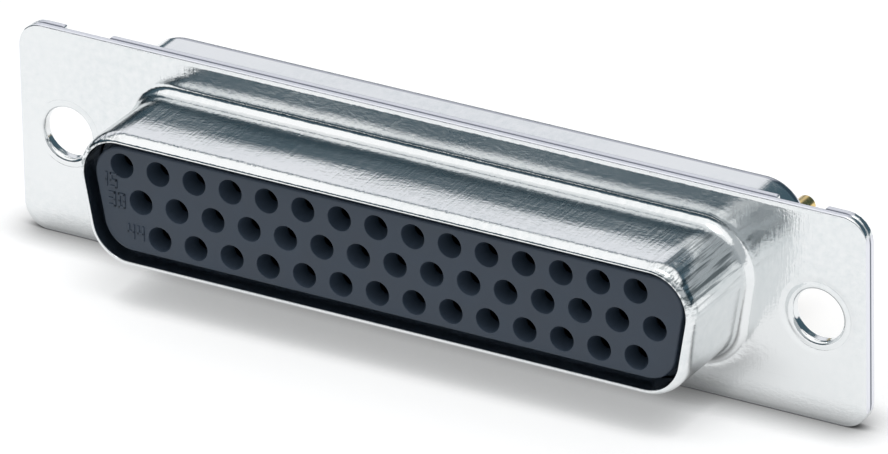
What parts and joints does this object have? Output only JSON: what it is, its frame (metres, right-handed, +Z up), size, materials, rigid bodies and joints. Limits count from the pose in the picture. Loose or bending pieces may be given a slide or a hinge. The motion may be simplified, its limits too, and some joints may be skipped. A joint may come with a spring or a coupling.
{
  "type": "d-sub connector",
  "caption": "High-density D-shaped socket connector for panel mounting, with a drawn metal shell, a moulded insulator in three rows and solder-cup contacts behind.",
  "frame": {"origin": "midway between the two mounting holes, on the front face of the flange", "axes": "+X along the flange, to the right seen from the mating side; +Z up to the wide side of the D; the mating face looks to -Y"},
  "size_m": [0.053, 0.0174, 0.0126],
  "materials": {
    "front_shell_plate": "deep-drawn steel with a bright tin plating, faint draw lines and handling scratches",
    "rear_shell_plate": "deep-drawn steel with a bright plating, a little bluer than the front shell",
    "insulator_moulding": "glass-filled polyester moulding, dark blue-grey, fine matt surface",
    "contact_gold": "copper alloy with a thin gold plating"
  },
  "bodies": {
    "root": {"front_shell": "front_shell_plate", "rear_shell": "rear_shell_plate", "front_insulator": "insulator_moulding", "rear_insulator": "insulator_moulding", "contact_01": "contact_gold", "contact_02": "contact_gold", "contact_03": "contact_gold", "contact_04": "contact_gold", "contact_05": "contact_gold", "contact_06": "contact_gold", "contact_07": "contact_gold", "contact_08": "contact_gold", "contact_09": "contact_gold", "contact_10": "contact_gold", "contact_11": "contact_gold", "contact_12": "contact_gold", "contact_13": "contact_gold", "contact_14": "contact_gold", "contact_15": "contact_gold", "contact_16": "contact_gold", "contact_17": "contact_gold", "contact_18": "contact_gold", "contact_19": "contact_gold", "contact_20": "contact_gold", "contact_21": "contact_gold", "contact_22": "contact_gold", "contact_23": "contact_gold", "contact_24": "contact_gold", "contact_25": "contact_gold", "contact_26": "contact_gold", "contact_27": "contact_gold", "contact_28": "contact_gold", "contact_29": "contact_gold", "contact_30": "contact_gold", "contact_31": "contact_gold", "contact_32": "contact_gold", "contact_33": "contact_gold", "contact_34": "contact_gold", "contact_35": "contact_gold", "contact_36": "contact_gold", "contact_37": "contact_gold", "contact_38": "contact_gold", "contact_39": "contact_gold", "contact_40": "contact_gold", "contact_41": "contact_gold", "contact_42": "contact_gold", "contact_43": "contact_gold", "contact_44": "contact_gold"}
  },
  "joints": []
}
